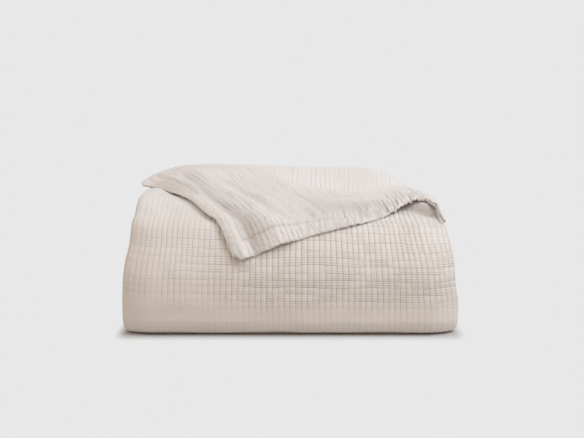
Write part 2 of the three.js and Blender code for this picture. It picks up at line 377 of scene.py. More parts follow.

# The corner's painted shade: 1 the valley beside the side hem, 2 and 4 troughs along the ribs, 3 the
# side hem near the roll, 5 the cloth behind the front hem.
CORNER_SHADES = table(
    "fold across along half height",
    (1, -200, 80, 12, 0.3),
    (1, -206, 190, 9, 0.6),
    (1, -202, 250, 13, 1.1),
    (1, -199, 300, 16, 1.4),
    (1, -200, 350, 12, 0.9),
    (2, -150, 120, 10, 0.5),
    (2, -142, 200, 10, 0.6),
    (2, -138, 280, 10, 0.3),
    (3, -226, 60, 9, 0.5),
    (3, -224, 160, 8, 0.3),
    (4, -30, 150, 9, 0.4),
    (4, -34, 240, 9, 0.5),
    (5, 0, 225, 26, 0.5),
    (5, 60, 222, 28, 0.8),
    (5, 108, 200, 22, 0.6),
)


def soft_folds(folds, across, along):
    """How far the folds push the cloth in or out at places on it."""
    pushed = np.zeros(np.broadcast(across, along).shape)
    for fold in np.unique(folds["fold"]):
        line = {name: values[folds["fold"] == fold] for name, values in folds.items()}
        strongest = np.zeros_like(pushed)
        for i in range(len(line["across"]) - 1):
            push = fold_stretch(line, i, across, along)
            strongest = np.where(np.abs(push) > np.abs(strongest), push, strongest)
        pushed += strongest
    return pushed


def fold_stretch(line, i, across, along):
    """How far one straight stretch of a fold's line pushes the cloth."""
    start = {name: values[i] for name, values in line.items()}
    run = {name: values[i + 1] - values[i] for name, values in line.items()}
    off_across = across - start["across"]
    off_along = along - start["along"]
    passed = off_across * run["across"] + off_along * run["along"]
    t = np.clip(passed / (run["across"] ** 2 + run["along"] ** 2), 0, 1)
    away = np.hypot(off_across - t * run["across"], off_along - t * run["along"])
    half = start["half"] + t * run["half"]
    return (start["height"] + t * run["height"]) * np.exp(-((away / half) ** 2))


def smooth_value(keys, values, key):
    """Smooth values for rising keys, with no overshoot between them."""
    keys = np.asarray(keys, float)
    values = np.asarray(values, float)
    steps = np.diff(keys).reshape((-1,) + (1,) * (values.ndim - 1))
    rise = np.diff(values, axis=0) / steps
    product = rise[:-1] * rise[1:]
    total = np.where(product > 0, rise[:-1] + rise[1:], 1)
    inner = np.where(product > 0, 2 * product / total, 0)
    slopes = np.concatenate((rise[:1], inner, rise[-1:]))
    at = np.clip(key, keys[0], keys[-1])
    row = np.clip(np.searchsorted(keys, at) - 1, 0, len(keys) - 2)
    span = keys[row + 1] - keys[row]
    t = (at - keys[row]) / span

    def pick(source, index):
        if values.ndim == 1:
            return source[index]
        return np.take_along_axis(source, index[None], 0)[0]

    start = (1 + 2 * t) * (1 - t) ** 2 * pick(values, row)
    start = start + t * (1 - t) ** 2 * span * pick(slopes, row)
    end = t**2 * (3 - 2 * t) * pick(values, row + 1)
    end = end - t**2 * (1 - t) * span * pick(slopes, row + 1)
    return start + end


def read(lines, name, key):
    """A column of a table, read smoothly by the table's first column."""
    return smooth_value(next(iter(lines.values())), lines[name], key)


def smooth_step(value, low, high):
    t = np.clip((value - low) / (high - low), 0, 1)
    return t * t * (3 - 2 * t)


def unevenness(across, along, wide, long, seed, shift=0):
    """Smooth uneven values from -1 to 1. Wide and long are the size of a swell."""
    size = 61
    values = np.random.default_rng(seed).uniform(-1, 1, (size, size))
    across = across / wide + shift
    along = along / long
    column = np.floor(across).astype(int)
    row = np.floor(along).astype(int)
    fx = smooth_step(across - column, 0, 1)
    fy = smooth_step(along - row, 0, 1)

    def value(columns_on, rows_on):
        return values[(column + columns_on) % size, (row + rows_on) % size]

    near = value(0, 0) * (1 - fx) + value(1, 0) * fx
    far = value(0, 1) * (1 - fx) + value(1, 1) * fx
    return near * (1 - fy) + far * fy


class Track:
    """A line of points, read by the distance along it."""

    def __init__(self, points):
        self.points = np.asarray(points, float)
        steps = np.linalg.norm(np.diff(self.points[:, :2], axis=0), axis=1)
        self.marks = np.concatenate(([0], np.cumsum(steps)))
        self.length = self.marks[-1]

    def at(self, distance):
        return np.stack([np.interp(distance, self.marks, line) for line in self.points.T], axis=-1)

    def heading(self, distance):
        near = 0.6
        behind = self.at(np.maximum(distance - near, 0))
        ahead = self.at(np.minimum(distance + near, self.length)) - behind
        return ahead[..., :2] / np.linalg.norm(ahead[..., :2], axis=-1, keepdims=True)


def arc(centre, radius, start, end):
    """Points along an arc, between two angles in degrees."""
    angle = np.radians(np.linspace(start, end, 25))
    return np.column_stack((centre[0] + radius * np.cos(angle), centre[1] + radius * np.sin(angle)))


def level_height(level):
    """Height of the middle of a length of the strip at a level, laid flat."""
    return OUTER_FACE + level * STRIP_THICKNESS


def settle(places):
    """The slumped form of the bundle: a low front, a crown to the back, rounded ends."""
    x, y, z = places[..., 0], places[..., 1], places[..., 2]
    rounding = (np.maximum(0, np.abs(x) - ROUNDING_STARTS) / ROUNDING_REACH) ** 2
    setback = np.where(x < 0, LEFT_SETBACK, RIGHT_SETBACK)
    drop = np.where(x < 0, LEFT_DROP, RIGHT_DROP)
    share = (1 - LEFT_RISE * x / (BUNDLE_WIDTH / 2)) * read(CROWN, "share", y)
    rise = BACK_RISE * smooth_step(z, RISE_FROM, RISE_TO) * smooth_step(y, RISE_FRONT, RISE_BACK)
    height = z * share * (1 - drop * rounding) + rise
    out = np.where(x < 0, -read(END_BULGE, "left", height), read(END_BULGE, "right", height))
    out = out * smooth_step(np.abs(x), BULGE_FROM, BULGE_TO)
    nearness = np.clip(0.5 - y / BUNDLE_DEPTH, 0, 1)
    lean = LEAN_BACK * nearness * read(LEAN, "share", height)
    depth = y * (1 - setback / (BUNDLE_DEPTH / 2) * rounding) + lean
    broad = unevenness(x, height, wide=75, long=48, seed=5, shift=9.3)
    small = unevenness(x, height, wide=33, long=26, seed=6)
    swell = BROAD_SWELL * broad + SMALL_SWELL * small
    depth = depth + swell * nearness * smooth_step(height, SWELLS_FROM, SWELLS_TO)
    return np.stack((x + out, depth, height), axis=-1)


def facings(places):
    """Which way a grid of places faces at each of them."""
    across = np.gradient(places, axis=1)
    along = np.gradient(places, axis=0)
    normal = np.cross(across, along)
    return normal / np.maximum(np.linalg.norm(normal, axis=-1, keepdims=True), 1e-9)


def flat_grid(name, columns, rows, half_size):
    """The mesh of a flat grid with so many faces across and along."""
    bm = bmesh.new()
    bmesh.ops.create_grid(bm, x_segments=columns, y_segments=rows, size=half_size)
    mesh = bpy.data.meshes.new(name)
    bm.to_mesh(mesh)
    bm.free()
    return mesh


def placed(name, data):
    """A new object in the scene."""
    thing = bpy.data.objects.new(name, data)
    bpy.context.scene.collection.objects.link(thing)
    return thing


def grid_mesh(name, grid):
    """The mesh of one grid of places, with its cloth map and its marks."""
    rows, columns = grid["places"].shape[:2]
    mesh = flat_grid(name, columns - 1, rows - 1, 1)
    flat = np.empty(3 * len(mesh.vertices))
    mesh.vertices.foreach_get("co", flat)
    column = np.rint((flat[0::3] + 1) / 2 * (columns - 1)).astype(int)
    row = np.rint((flat[1::3] + 1) / 2 * (rows - 1)).astype(int)
    mesh.vertices.foreach_set("co", (grid["places"][row, column] * MM).ravel())
    corners = np.empty(len(mesh.loops), int)
    mesh.loops.foreach_get("vertex_index", corners)
    cloth_map = mesh.uv_layers.new(name="cloth")
    cloth_map.data.foreach_set("uv", (grid["map"][row, column] * MM)[corners].ravel())
    for mark, values in grid["marks"].items():
        layer = mesh.attributes.new(mark, "FLOAT", "POINT")
        layer.data.foreach_set("value", values[row, column].ravel())
    return mesh


def cloth_piece(name, grids, thickness, finish):
    """One cloth made of grids of places, as thick as its fullness mark says."""
    whole = bmesh.new()
    for grid in grids:
        part = grid_mesh(name + "_grid", grid)
        whole.from_mesh(part)
        bpy.data.meshes.remove(part)
    mesh = bpy.data.meshes.new(name)
    whole.to_mesh(mesh)
    whole.free()
    mesh.polygons.foreach_set("use_smooth", np.ones(len(mesh.polygons), bool))
    mesh.materials.append(finish)
    piece = placed(name, mesh)
    weights = np.empty(len(mesh.vertices))
    mesh.attributes["fullness"].data.foreach_get("value", weights)
    weights = weights.round(2)
    group = piece.vertex_groups.new(name="fullness")
    for weight in np.unique(weights):
        chosen = np.flatnonzero(weights == weight)
        group.add(chosen.tolist(), float(weight), "REPLACE")
    wall = piece.modifiers.new("cloth_thickness", "SOLIDIFY")
    wall.thickness = thickness * MM
    wall.offset = 0
    wall.use_rim = True
    wall.vertex_group = "fullness"
    return piece


def strip_section():
    """Across the strip and outwards, from the outer layer's curled edge to the inmost layer."""
    return Track(np.vstack((
        arc((-FOLD_CENTRE, 0), OUTER_FOLD_RADIUS, CURL_END, 90),
        arc((FOLD_CENTRE, 0), OUTER_FOLD_RADIUS, 90, -90),
        arc((-INNER_FOLD_CENTRE, -LAYER_PITCH), INNER_FOLD_RADIUS, -90, -270),
        arc((FOLD_CENTRE, 0), INNER_FOLD_RADIUS, -90, 90),
        [(-INNER_FOLD_CENTRE, INNER_FOLD_RADIUS)],
    )))


def inner_course():
    """The six inner lengths and the turns between them: depth, height and shift to one side."""
    course = []
    rows = list(zip(*LENGTHS.values()))
    for i, (level, start, end, aside) in enumerate(rows):
        height = level_height(level)
        run = np.array([(start, height), (end, height)])
        if i < len(rows) - 1:
            turn = arc((end, height - TURN_RADIUS), TURN_RADIUS, 90, -90 if end > 0 else 270)
            run = np.vstack((run[:1], turn))
        course.append(np.column_stack((run, np.full(len(run), aside))))
    return Track(np.vstack(course))


def wrap_course():
    """The last length: from under the front, up and over, to where the corner turns back."""
    bottom_centre = (WRAP_FRONT + WRAP_BOTTOM_RADIUS, level_height(0) + WRAP_BOTTOM_RADIUS)
    top_centre = (WRAP_FRONT + WRAP_TOP_RADIUS, level_height(TOP_LEVEL) - WRAP_TOP_RADIUS)
    run = np.vstack((
        arc(bottom_centre, WRAP_BOTTOM_RADIUS, -90, -180),
        arc(top_centre, WRAP_TOP_RADIUS, 180, 90),
        [(ROLL_BACK, level_height(TOP_LEVEL))],
    ))
    return Track(np.column_stack((run, np.zeros(len(run)))))


def swept(section, course, us, vs, folds=None):
    """Places of the strip at distances across its section and along its course."""
    cross = section.at(us)
    line = course.at(vs)
    heading = course.heading(vs)
    out = cross[..., 1]
    if folds:
        depth_share = (out + OUTER_FOLD_RADIUS) / (2 * OUTER_FOLD_RADIUS)
        press = INNER_PRESS + (1 - INNER_PRESS) * depth_share
        out = out + soft_folds(folds, cross[..., 0], vs) * press
    return settle(np.stack((
        cross[..., 0] + line[..., 2],
        line[..., 0] - heading[..., 1] * out,
        line[..., 1] + heading[..., 0] * out,
    ), axis=-1))


def layer_columns(first):
    """Distances across the section for the three inner layers, closer together at the ends."""
    reach = 224
    ends = reach - 8 * np.arange(6)
    middle = np.linspace(-140, 140, 7)
    places = np.concatenate((-ends, middle, ends[::-1]))
    length = FOLD_CENTRE + INNER_FOLD_CENTRE
    inside = (places + reach) / (2 * reach) * length
    found = [first]
    start = first
    for layer in range(3):
        found.extend(start + inside[1:])
        start += length
        if layer < 2:
            found.extend(start + INNER_FOLD_RUN * np.array([0.2, 0.4, 0.6, 0.8]))
            start += INNER_FOLD_RUN
            found.append(start)
    return np.array(found)


def relief_of_face(us, vs, rib_show, row_show):
    """How far the crinkled face stands in or out: grooves round soft cells."""

    def groove(distance, pitch):
        off = np.abs((distance / pitch + 0.5) % 1 - 0.5) * pitch
        return 1 - smooth_step(off, 0, GROOVE_HALF_WIDTH)

    ribs = groove(us, RIB_PITCH) * rib_show * RIB_GROOVE_DEPTH
    rows = groove(vs, ROW_PITCH) * row_show * ROW_GROOVE_DEPTH
    return -np.maximum(ribs, rows)


def pitched(pitch, flats, start, end):
    """Distances that give each rib or row a groove with two shoulders, and flats between."""
    shy = 0.3
    first = math.floor(start / pitch)
    last = math.ceil(end / pitch)
    within = np.array([0, GROOVE_HALF_WIDTH, *flats, pitch - GROOVE_HALF_WIDTH])
    places = (np.arange(first, last)[:, None] * pitch + within).ravel()
    return places[(places > start + shy) & (places < end - shy)]


def runs_of_rows(us, vs):
    """How strongly each row shows: in runs of a few ribs, and hardly between them."""
    ribs_in_run = 5
    kinds = 80
    row = np.floor(vs / ROW_PITCH + 0.5).astype(int)
    start = np.random.default_rng(21).uniform(0, ribs_in_run, kinds)[row % kinds]
    run = np.floor(us / RIB_PITCH / ribs_in_run + start).astype(int)
    strength = np.random.default_rng(22).uniform(0.3, 1.15, (kinds, kinds))
    return np.clip(strength[run % kinds, row % kinds], 0.4, 1)


def weave_drift(us, vs, across):
    """How far the weave's lines wander across and along the wrapped length."""
    row = np.floor(vs / ROW_PITCH + 0.5)
    jog = 3 * unevenness(us, row * 2.7, wide=30, long=1, seed=31, shift=row * 5.3)
    along = 1.5 * unevenness(us, vs, wide=70, long=55, seed=32) + 0.6 * np.clip(jog, -1, 1)
    right_end = smooth_step(across, 50, 170) * smooth_step(across, 216, 180)
    leaning = right_end * smooth_step(vs, 60, 200)
    sideways = 0.9 * unevenness(us, vs, wide=40, long=45, seed=33) - 8 * leaning
    return sideways, along


def weave_show(us, vs, across):
    """How strongly the ribs and the rows show over the wrapped length."""
    hollow = smooth_step(across, 150, 180) * smooth_step(vs, 195, 215)
    left = smooth_step(across, -20, -150)
    far_left = smooth_step(across, -100, -200)
    calm = 1 - HOLLOW_FADE * hollow
    uneven = 0.8 + 0.3 * unevenness(us, vs, wide=26, long=60, seed=34)
    ribs = read(RELIEF, "ribs", vs) * uneven * calm * (1 - LEFT_RIB_FADE * left)
    rows = read(RELIEF, "rows", vs) * calm * runs_of_rows(us, vs) * (1 - LEFT_ROW_FADE * far_left)
    return ribs, rows


def wrapped_grid(section, course):
    """The wrapped length, whose outer layer carries the modelled crinkle."""
    rib_columns = pitched(RIB_PITCH, (RIB_SHOULDER, RIB_PITCH - RIB_SHOULDER), 0, OUTER_RUN)
    columns = np.concatenate(([0], rib_columns, layer_columns(OUTER_RUN)))
    modelled_run = MODELLED_ROWS * ROW_PITCH
    coarse_stations = np.linspace(modelled_run, course.length, 16)
    stations = np.concatenate(([0], pitched(ROW_PITCH, (), 0, modelled_run), coarse_stations))
    us, vs = np.meshgrid(columns, stations)
    across = us - OUTER_RUN / 2
    outer = smooth_step(us, OUTER_RUN, OUTER_RUN - 14)
    inside = smooth_step(vs, 0, 12) * smooth_step(vs, course.length, course.length - 12)
    sideways, along = weave_drift(us, vs, across)
    drifted_us = us + sideways * outer * inside
    drifted_vs = vs + along * outer * inside
    places = swept(section, course, drifted_us, drifted_vs, WRAP_FOLDS)
    rib_show, row_show = weave_show(us, vs, across)
    modelled = outer * smooth_step(vs, modelled_run, modelled_run - 12)
    puff = RIB_PUFF * unevenness(us, vs, wide=9, long=9, seed=35) * rib_show
    relief = puff + relief_of_face(us, vs, rib_show, row_show)
    places = places + facings(places) * (relief * modelled)[..., None]
    marks = {
        "rib_show": rib_show,
        "row_show": row_show,
        "modelled": modelled,
        "fullness": np.ones_like(us),
        # painted shade in the hollow under the right shoulder
        "shade": soft_folds(WRAP_SHADES, across, vs) * outer,
        # painted warm shade, strongest towards the bottom of the front
        "low": smooth_step(vs, 190, 90),
    }
    return {"places": places, "map": np.stack((us, vs), axis=-1), "marks": marks}


def inner_grid(section, course):
    """The six inner lengths of the strip."""
    edge_steps = np.array([0, 8, 16, 24, 32, 40])
    flat = 80
    columns = np.concatenate((
        np.linspace(0, CURL_RUN, 6)[:-1],
        CURL_RUN + edge_steps,
        CURL_RUN + np.linspace(flat, 2 * FOLD_CENTRE - flat, 7),
        (OUTER_LAYER_RUN - edge_steps)[::-1],
        OUTER_LAYER_RUN + OUTER_FOLD_RUN * np.linspace(0, 1, 9)[1:-1],
        layer_columns(OUTER_RUN),
    ))
    turn_stations = math.pi * TURN_RADIUS * np.array([0.17, 0.34, 0.5, 0.66, 0.83])
    shortest = 50
    lengths = np.flatnonzero(np.abs(np.diff(course.points[:, 0])) > shortest)
    stations = []
    for start in lengths:
        stations.extend(np.linspace(course.marks[start], course.marks[start + 1], 11))
        if start != lengths[-1]:
            stations.extend(course.marks[start + 1] + turn_stations)
    us, vs = np.meshgrid(columns, stations)
    marks = {
        "rib_show": np.full_like(us, INNER_RIB_SHOW),
        "row_show": np.full_like(us, INNER_ROW_SHOW),
        "modelled": np.zeros_like(us),
        "fullness": np.ones_like(us),
    }
    cloth_map = np.stack((us, vs - course.length), axis=-1)
    return {"places": swept(section, course, us, vs), "map": cloth_map, "marks": marks}


def folded_strip(finish):
    """The cloth in its four layers, folded back and forth and wrapped over the front."""
    section = strip_section()
    grids = [inner_grid(section, inner_course()), wrapped_grid(section, wrap_course())]
    return cloth_piece("folded_strip", grids, CLOTH_THICKNESS, finish)


def outer_surface(x, down):
    """The flat-laid bundle's outer surface and its facing, by the distance down from its top."""
    radius = FACE_TOP_RADIUS
    angle = np.clip(down / radius, 0, math.pi / 2)
    facing = np.stack((np.zeros_like(angle), -np.sin(angle), np.cos(angle)), axis=-1)
    centre_depth = WRAP_FRONT + WRAP_TOP_RADIUS - np.minimum(down, 0)
    top = level_height(TOP_LEVEL) + OUTER_FACE
    centre_height = top - radius - np.maximum(0, down - radius * math.pi / 2)
    centre = np.stack((x, centre_depth, centre_height), axis=-1)
    return centre + facing * radius, facing


def halved(low, high, times, is_past):
    """The values where is_past turns true, by halving the ranges between low and high."""
    for _ in range(times):
        middle = (low + high) / 2
        past = is_past(middle)
        high = np.where(past, middle, high)
        low = np.where(past, low, middle)
    return (low + high) / 2


def line_through(x, run):
    """Where on the roll the corner's line through a place starts. The run is from the roll."""

    def is_past(start):
        share = run / (read(TURNED, "down", start) - ROLL_DOWN)
        return start + (read(TURNED, "hem_x", start) - start) * share > x

    return halved(np.full(x.shape, CORNER_LEFT), np.full(x.shape, CORNER_RIGHT), 22, is_past)


def rib_place(roll_x, run):
    """How far to the side a rib of the turned-down corner is, a run away from the roll."""
    before = read(RIB_LEAN, "before", roll_x)
    after = read(RIB_LEAN, "after", roll_x)
    crease = read(RIB_LEAN, "crease", roll_x)
    bend = np.maximum(np.minimum(CREASE_BEND, crease), 0.01)

    def turned(distance):
        past = distance - crease
        within = (past + bend) ** 2 / (4 * bend)
        return np.where(past < -bend, 0, np.where(past > bend, past, within))

    return roll_x + before * run + (after - before) * (turned(run) - turned(0 * run))


def hem_runs(roll_x):
    """How far from the roll each rib meets the front hem."""
    lines = np.linspace(CORNER_LEFT, CORNER_RIGHT, 400)
    hem_x = read(TURNED, "hem_x", lines)
    hem_run = read(TURNED, "down", lines) - ROLL_DOWN
    farthest = 380

    def is_past(run):
        return run > np.interp(rib_place(roll_x, run), hem_x, hem_run)

    return halved(np.zeros_like(roll_x), np.full_like(roll_x, farthest), 30, is_past)


def corner_runs(columns):
    """How far each of the corner's ribs runs from the roll, with the point rounded off."""
    from_edge = (columns - CORNER_LEFT) / SIDE_SLANT
    fuller = np.exp(-(((from_edge - POINT_REACH) / POINT_SPREAD) ** 2))
    rounding = 1 - smooth_step(from_edge, 0, POINT_REACH)
    return hem_runs(columns) - POINT_ROUNDING * rounding + POINT_FULLNESS * fuller


def swung_ribs(us, runs):
    """Where across the bundle the corner's cloth lies, with the side hem's swings."""
    x = rib_place(us, runs)
    for run, half, out, inmost in zip(*SIDE_SWINGS.values()):
        swing = np.exp(-(((runs - run) / half) ** 2))
        x = x - out * swing * smooth_step(us, inmost, CORNER_LEFT)
    return x


def corner_lift(x, runs):
    """How far the corner's middle stands above the layer that it lies on."""
    lines = line_through(x, runs)
    reach = read(TURNED, "down", lines) - ROLL_DOWN
    share = np.clip(runs / reach, 0, 1)
    stops = [0, *LINE_STEPS.values()]
    from_roll = 2 * read(TURNED, "radius", lines) - CLOTH_THICKNESS / 2
    lifts = np.stack([from_roll] + [read(TURNED, name, lines) for name in LINE_STEPS])
    return smooth_value(stops, lifts, share)


def rolled_places(columns, turn):
    """The corner's places round the roll, from the top layer to where it comes forward."""
    root_x = np.clip(columns, -FOLD_CENTRE, FOLD_CENTRE)
    layer_height = level_height(TOP_LEVEL) + OUTER_FOLD_RADIUS
    angle = math.pi * (turn - 0.5)
    radius = read(TURNED, "radius", columns)[None]
    return np.stack((
        root_x + (columns - root_x) * turn,
        ROLL_BACK + radius * np.cos(angle),
        layer_height + radius * (1 + np.sin(angle)),
    ), axis=-1)


def relief_of_back(us, along):
    """The crinkle of the reverse side: long uneven ridges, wide and narrow."""
    wander = 2.6 * unevenness(us, along, wide=30, long=70, seed=41)
    wander = wander + 1.1 * unevenness(us, along, wide=9, long=26, seed=45)
    ridge = np.cos(2 * math.pi * (us + wander) / BACK_RIB_PITCH)
    strength = 0.5 + 0.7 * unevenness(us, along, wide=9, long=34, seed=42)
    fine = unevenness(us, along, wide=3.4, long=34, seed=43)
    broad = unevenness(us, along, wide=19, long=110, seed=44)
    ridges = BACK_RIDGE_HEIGHT * ridge * np.clip(strength, 0, 1.15)
    return ridges + BACK_FINE_HEIGHT * fine + BACK_BROAD_HEIGHT * broad


def crinkle_show(us, along, x, columns, edge, hemmed):
    """How strongly the reverse side's crinkle shows: least where the ribs crowd together."""
    grown = 0.3 + 0.9 * smooth_step(along, 0, 150)
    by_hem = 1 + 0.8 * smooth_step(us, 0, 70) * smooth_step(edge, 70, 20)
    spread = np.clip(np.gradient(x, axis=1) / np.gradient(columns), 0, 1) ** 1.5
    uncrowded = spread + (1 - spread) * smooth_step(us, 20, 80)
    return grown * (1 + 0.3 * hemmed) * by_hem * uncrowded


def corner_steps():
    """The corner's ribs on the roll, how far each one runs from it, and the runs' steps."""
    columns = np.concatenate((
        CORNER_LEFT + HEM_STEPS * SIDE_SLANT,
        np.arange(CORNER_LEFT + 26, CORNER_RIGHT - 3, CORNER_STEP),
        CORNER_RIGHT - np.array([2.2, 0.8, 0]),
    ))
    ends = corner_runs(columns)
    shares = np.linspace(0, 1, CORNER_ROWS + 1)[1:, None]
    runs = np.vstack((
        np.zeros((ROLL_ROWS, len(columns))),
        shares * (ends - HEM_STEPS[-1])[None],
        ends[None] - HEM_STEPS[::-1][1:, None],
    ))
    return columns, ends, runs


def turned_corner(finish):
    """The top layer's corner, turned back over the roll and laid down over the front."""
    columns, ends, runs = corner_steps()
    us = np.broadcast_to(columns, runs.shape)
    x = swung_ribs(us, runs)
    lift = corner_lift(x, runs)
    point, facing = outer_surface(x, runs + ROLL_DOWN)
    places = point + facing * lift[..., None]
    turn = np.linspace(0, 1, ROLL_ROWS)[:, None]
    places[:ROLL_ROWS] = rolled_places(columns, turn)
    places = settle(places)
    along = runs.copy()
    along[:ROLL_ROWS] = -(1 - turn) * math.pi * read(TURNED, "radius", columns)[None]

    edge = np.minimum((us - CORNER_LEFT) / SIDE_SLANT, ends[None] - runs)
    hemmed = smooth_step(edge, HEM_WIDTH + 0.8, HEM_WIDTH - 0.8)
    seam = np.exp(-(((edge - HEM_WIDTH) / SEAM_HALF_WIDTH) ** 2))
    seam = seam * (1 - 0.6 * smooth_step(us, 0, 80) * smooth_step(along, 100, 140))
    front_hem = smooth_step(edge, 75, 25) * smooth_step(us, -180, -60)
    gathered = front_hem * smooth_step(us, CORNER_RIGHT, CORNER_RIGHT - 30)
    drift = 0.8 * unevenness(us, along, wide=60, long=22, seed=46)
    pucker = unevenness(x, along, wide=GATHER_PITCH, long=50, seed=47, shift=drift)
    crinkle = relief_of_back(us, along) * crinkle_show(us, along, x, columns, edge, hemmed)
    crinkle = crinkle + (0.3 + 1.3 * pucker) * gathered
    crinkle = crinkle + (0.2 + 0.7 * pucker) * hemmed * (1 - gathered)
    relief = crinkle - SEAM_DEPTH * seam + soft_folds(CORNER_FOLDS, us, along)
    relief = relief * smooth_step(along, -60, 0)
    thickness = TURNED_THICKNESS + (HEM_THICKNESS - TURNED_THICKNESS) * hemmed
    room = lift - thickness / 2 - LEAST_CLEARANCE
    relief = np.where(relief < 0, room * np.tanh(relief / room), relief)
    places = places - facings(places) * relief[..., None]

    rounded = np.interp(edge, EDGE_ROUNDING["edge"], EDGE_ROUNDING["fullness"])
    marks = {
        "rib_show": 0.45 + 0.55 * smooth_step(along, 20, 150),
        "fullness": thickness / HEM_THICKNESS * rounded,
        "hemmed": hemmed,
        # the seam: its thread, and as painted shade the shade in its crevice
        "seam_thread_and_shade": seam,
        # painted shade in the folds' hollows and in the hollows of the hem's gathers
        "shade": soft_folds(CORNER_SHADES, us, along) + np.clip(-pucker, 0, 1) * gathered,
    }
    grid = {"places": places, "map": np.stack((us, along), axis=-1), "marks": marks}
    return cloth_piece("turned_corner", [grid], HEM_THICKNESS, finish)


class Reading:
    """A value or colour between a material's nodes, on which sums can be written."""

    def __init__(self, finish, socket):
        self.finish = finish
        self.socket = socket

    def sum(self, operation, *terms):
        return self.finish.add("ShaderNodeMath", {"operation": operation}, terms)

    def __add__(self, other):
        return self.sum("ADD", self, other)

    def __radd__(self, other):
        return self.sum("ADD", other, self)

    def __sub__(self, other):
        return self.sum("SUBTRACT", self, other)

    def __rsub__(self, other):
        return self.sum("SUBTRACT", other, self)

    def __mul__(self, other):
        return self.sum("MULTIPLY", self, other)

    def __rmul__(self, other):
        return self.sum("MULTIPLY", other, self)

    def __truediv__(self, other):
        return self.sum("DIVIDE", self, other)

    def __rtruediv__(self, other):
        return self.sum("DIVIDE", other, self)


class Finish:
    """The nodes of a material or world, and the one way to add to them."""

    def __init__(self, owner):
        owner.use_nodes = True
        self.owner = owner
        self.tree = owner.node_tree
        self.tree.nodes.clear()

    def add(self, kind, settings=None, inputs=(), output=0):
        """A node of a kind, with its settings and the values or links of its sockets."""
        node = self.tree.nodes.new(kind)
        for name, value in (settings or {}).items():
            setattr(node, name, value)
        for socket, value in inputs.items() if isinstance(inputs, dict) else enumerate(inputs):
            if isinstance(value, Reading):
                self.tree.links.new(value.socket, node.inputs[socket])
            else:
                node.inputs[socket].default_value = value
        return Reading(self, node.outputs[output]) if len(node.outputs) else None

    def split(self, vector):
        separated = self.add("ShaderNodeSeparateXYZ", inputs=[vector])
        return [Reading(self, socket) for socket in separated.socket.node.outputs]

    def joined(self, x, y, z):
        return self.add("ShaderNodeCombineXYZ", inputs=[x, y, z])

    def ranged(self, value, low, high, start=0.0, end=1.0):
        """A value brought smoothly from one range to another."""
        settings = {"interpolation_type": "SMOOTHSTEP"}
        return self.add("ShaderNodeMapRange", settings, [value, low, high, start, end])

    def mixed(self, share, first, second):
        """A colour between two, with a share of the second."""
        settings = {"data_type": "RGBA"}
        return self.add("ShaderNodeMix", settings, {0: share, 6: first, 7: second}, output=2)

    def cloth_place(self):
        """A place on the flat cloth, in metres across it and along it."""
        across, along, _ = self.split(self.add("ShaderNodeUVMap", {"uv_map": "cloth"}))
        return across, along

    def noise(self, across, along, layer=0.0, detail=2.0, roughness=0.5):
        """Soft noise, another one for each layer."""
        where = self.joined(across, along, layer)
        inputs = {"Vector": where, "Scale": 1.0, "Detail": detail, "Roughness": roughness}
        return self.add("ShaderNodeTexNoise", inputs=inputs)

    def floor(self, value):
        return value.sum("FLOOR", value)

    def chance(self, first, second):
        """An even random value for each pair of whole numbers."""
        pair = self.joined(first, second, 0.0)
        return self.add("ShaderNodeTexWhiteNoise", {"noise_dimensions": "2D"}, {"Vector": pair})

    def mark(self, name):
        return self.add("ShaderNodeAttribute", {"attribute_name": name}, output=2)


def tone(red, green, blue):
    """A colour written in 8-bit display values."""

    def linear(value):
        share = value / 255
        return share / 12.92 if share <= 0.04045 else ((share + 0.055) / 1.055) ** 2.4

    return (linear(red), linear(green), linear(blue), 1.0)


PLAIN_GREY = tone(232, 232, 232)
CLOTH_LIGHT = tone(234, 231, 229)
CLOTH_WARM = tone(229, 224, 219)
# Painted warm shade: the warmer tone of the front's low part, where the shaded cloth looks warmer
LOW_FRONT_PAINTED_SHADE_TONE = tone(233, 225, 217)
# Painted shade: the darker tone that grooves, fine lines, folds' hollows and the seam are mixed
# toward, in place of the shade that falls in them
PAINTED_SHADE_TONE = tone(160, 146, 134)
CLOTH_HEM = tone(238, 232, 227)

# The plain weave's threads, in metres
THREAD_PITCH = 0.0011
THREAD_HEIGHT = 0.000035

# The face's fine lines in metres: their pitch, the half widths of the ones across and along
# the ribs, and how far beside a groove the ones along the ribs come
FINE_PITCH = ROW_PITCH * MM / 3
FINE_HALF_WIDTH = 0.001
SPLIT_HALF_WIDTH = 0.0007
SPLIT_ASIDE = RIB_PITCH * MM * 0.3
RIBS_IN_RUN = 3

# The face's tones, as shares of the painted shade tone or the warmer tone, and its bump in metres.
# Its grooves, fine lines and hollows are darkened as painted shade, and its low front is warmed as
# painted warm shade
GROOVE_PAINTED_SHADE = 0.62
FINE_LINE_PAINTED_SHADE = 0.14
SHADE_DARK = 0.4
LOW_FRONT_PAINTED_SHADE = 0.7
WRINKLE_HEIGHT = 0.0003
FINE_DEPTH = 0.0005

# The reverse side's wide and thin ribs, in metres
WIDE_PITCH = BACK_RIB_PITCH * MM
THIN_PITCH = WIDE_PITCH * 0.43
WIDE_HALF_WIDTH = 0.0012
THIN_HALF_WIDTH = 0.0008

# The reverse side's tones, with painted shade in its ribs' grooves, its seam and its troughs, and its
# bump
WIDE_RIB_PAINTED_SHADE = 0.2
THIN_RIB_PAINTED_SHADE = 0.08
HEM_PALE = 0.5
SEAM_THREAD_AND_PAINTED_SHADE = 0.4
TROUGH_PAINTED_SHADE = 0.36
CRUSHED_HEIGHT = 0.0006
CRUMPLED_HEIGHT = 0.0024
WIDE_DEPTH = 0.0004
THIN_DEPTH = 0.0002

# The floor in metres: the part that the bundle covers, and how far from there it is lit and
# where it is plain. It turns plain sooner at the sides.
FLOOR_HALF_SIZE = 9
COVERED_HALF_WIDTH = 0.222
COVERED_HALF_DEPTH = 0.155
LIT_TO = 0.012
PLAIN_FROM = 0.05
SOONER_AT_SIDES = 2


